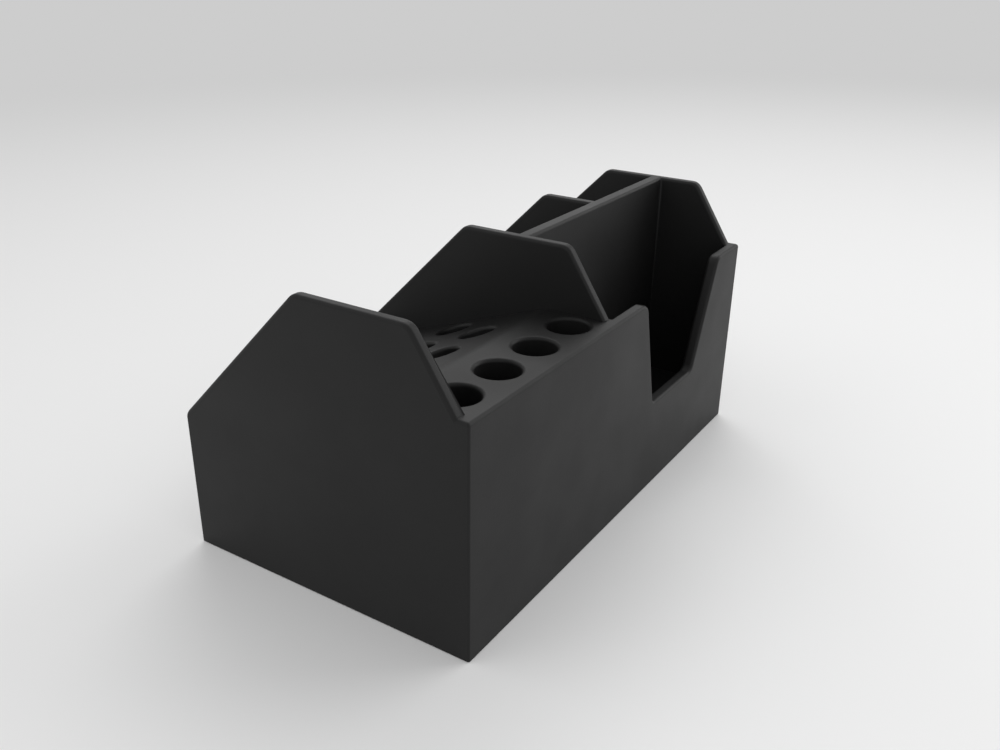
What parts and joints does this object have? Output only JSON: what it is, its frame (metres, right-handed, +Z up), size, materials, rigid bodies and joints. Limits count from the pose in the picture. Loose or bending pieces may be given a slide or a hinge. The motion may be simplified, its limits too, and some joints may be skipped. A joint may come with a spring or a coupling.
{
  "type": "desk organizer with tape dispenser and drawer",
  "caption": "Desk organizer with a sloped pen deck of round holes, a note compartment behind a notched wall, open bays, a tape hub with a serrated blade and a shallow drawer.",
  "frame": {"origin": "middle of the footprint, on the desk", "axes": "+X along the length towards the pen section, +Y from the low front wall with the drawer towards the notched back wall, +Z up"},
  "size_m": [0.2, 0.1146, 0.1037],
  "materials": {
    "black_plastic": "matt, fine grain",
    "steel": "plain",
    "rubber": "matt"
  },
  "bodies": {
    "root": {"housing": "black_plastic", "compartment_floor": "black_plastic", "base_plate": "black_plastic", "base_screws": "steel", "rubber_feet": "rubber", "tape_cradle": "black_plastic", "cradle_screws": "steel", "hub_axle": "steel", "cutter_blade": "steel", "blade_rivets": "steel"},
    "drawer": {"drawer_tray": "black_plastic", "drawer_front": "black_plastic", "drawer_front_screws": "steel"},
    "tape_hub": {"hub_core": "black_plastic", "hub_cap": "black_plastic"}
  },
  "joints": [
    {"name": "drawer_slide", "type": "slide", "parent": "root", "child": "drawer", "axis": [0, -1, 0], "range_m": [0, 0.075]},
    {"name": "hub_spin", "type": "hinge", "parent": "root", "child": "tape_hub", "pos_m": [-0.0157, -0.01862, 0.05], "axis": [1, 0, 0], "continuous": true}
  ]
}
